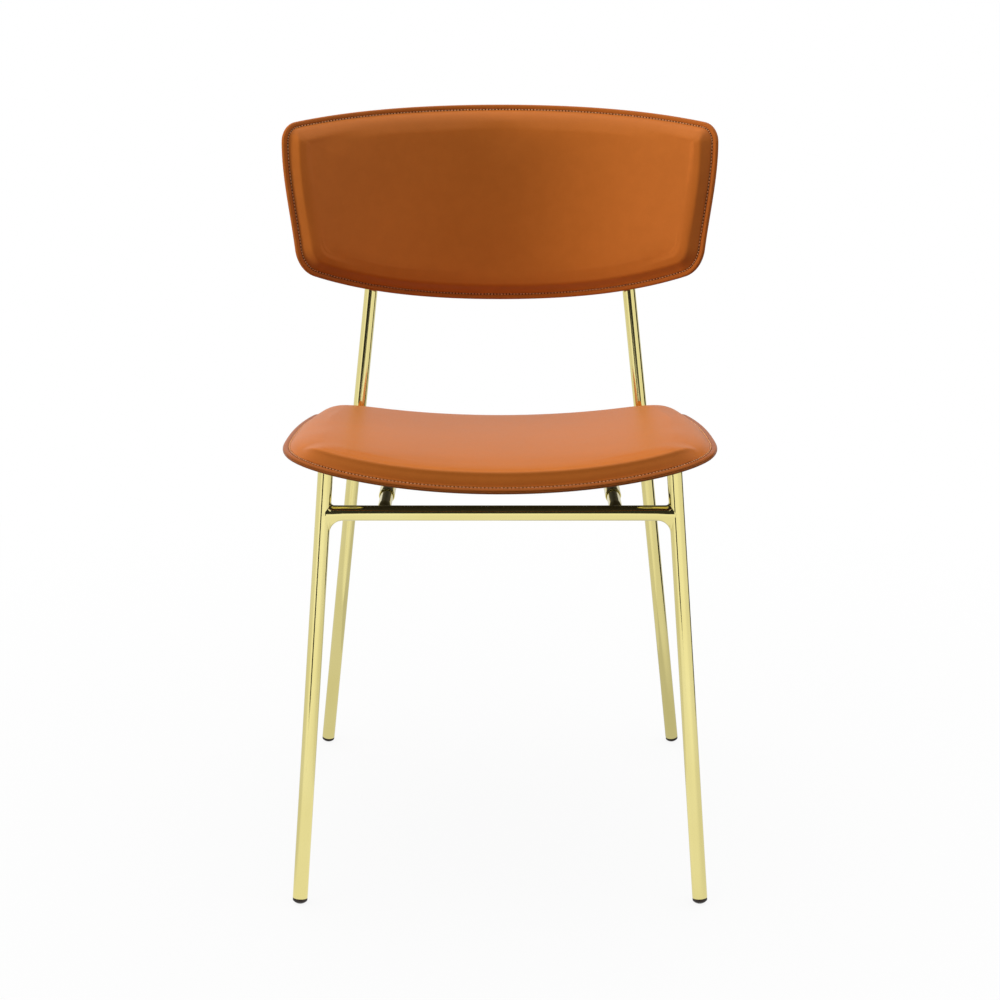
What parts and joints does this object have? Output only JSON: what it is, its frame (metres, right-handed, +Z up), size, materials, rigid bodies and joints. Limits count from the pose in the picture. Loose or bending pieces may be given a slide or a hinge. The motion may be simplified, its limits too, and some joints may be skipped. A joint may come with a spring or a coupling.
{
  "type": "dining chair",
  "caption": "Dining chair with a slim round-tube frame in polished pale brass and a bent seat and curved backrest, padded in tan leather with a flat stitched lip.",
  "frame": {"origin": "on the floor, below the middle of the chair's plan, where the four glides stand at Z 0", "axes": "+Z up; the chair faces -Y, so +Y runs from the sitter's knees to the backrest; +X is to the right as seen from the front"},
  "size_m": [0.5076, 0.5072, 0.8047],
  "materials": {
    "frame_brass": "polished pale brass plating on round tube",
    "glide_plastic": "moulded dark glide",
    "cap_plastic": "moulded dark cap",
    "fixing_steel": "plated fixings",
    "insert_brass": "threaded inserts",
    "shell_plywood": "bent plywood",
    "cover_leather": "tan leather over the rear of the backrest",
    "under_lining": "dark brown leather lining under the seat",
    "lip_leather": "tan leather, folded and stitched",
    "pad_leather": "tan leather over foam"
  },
  "bodies": {
    "root": {"front_leg_left": "frame_brass", "front_leg_right": "frame_brass", "front_crossbar": "frame_brass", "rear_leg_left": "frame_brass", "rear_leg_right": "frame_brass", "rear_crossbar": "frame_brass", "rail_stub_left": "frame_brass", "rail_stub_right": "frame_brass", "seat_rail_left": "frame_brass", "seat_rail_right": "frame_brass", "front_glide_left": "glide_plastic", "front_glide_right": "glide_plastic", "rear_glide_left": "glide_plastic", "rear_glide_right": "glide_plastic", "upright_cap_left": "cap_plastic", "upright_cap_right": "cap_plastic", "seat_tab_left": "frame_brass", "seat_tab_right": "frame_brass", "seat_spacer_left": "fixing_steel", "seat_spacer_right": "fixing_steel", "seat_front_screw_left": "fixing_steel", "seat_front_screw_right": "fixing_steel", "seat_front_insert_left": "insert_brass", "seat_front_insert_right": "insert_brass", "seat_rear_screw_left": "fixing_steel", "seat_rear_screw_right": "fixing_steel", "seat_rear_insert_left": "insert_brass", "seat_rear_insert_right": "insert_brass", "seat_shell": "shell_plywood", "seat_under_cover": "under_lining", "seat_lip": "lip_leather", "seat_pad": "pad_leather", "back_lower_insert_left": "insert_brass", "back_lower_insert_right": "insert_brass", "back_lower_screw_left": "fixing_steel", "back_lower_screw_right": "fixing_steel", "back_lower_spacer_left": "fixing_steel", "back_lower_spacer_right": "fixing_steel", "back_upper_insert_left": "insert_brass", "back_upper_insert_right": "insert_brass", "back_upper_screw_left": "fixing_steel", "back_upper_screw_right": "fixing_steel", "back_upper_spacer_left": "fixing_steel", "back_upper_spacer_right": "fixing_steel", "back_shell": "shell_plywood", "back_rear_cover": "cover_leather", "back_lip": "lip_leather", "back_pad": "pad_leather"}
  },
  "joints": []
}
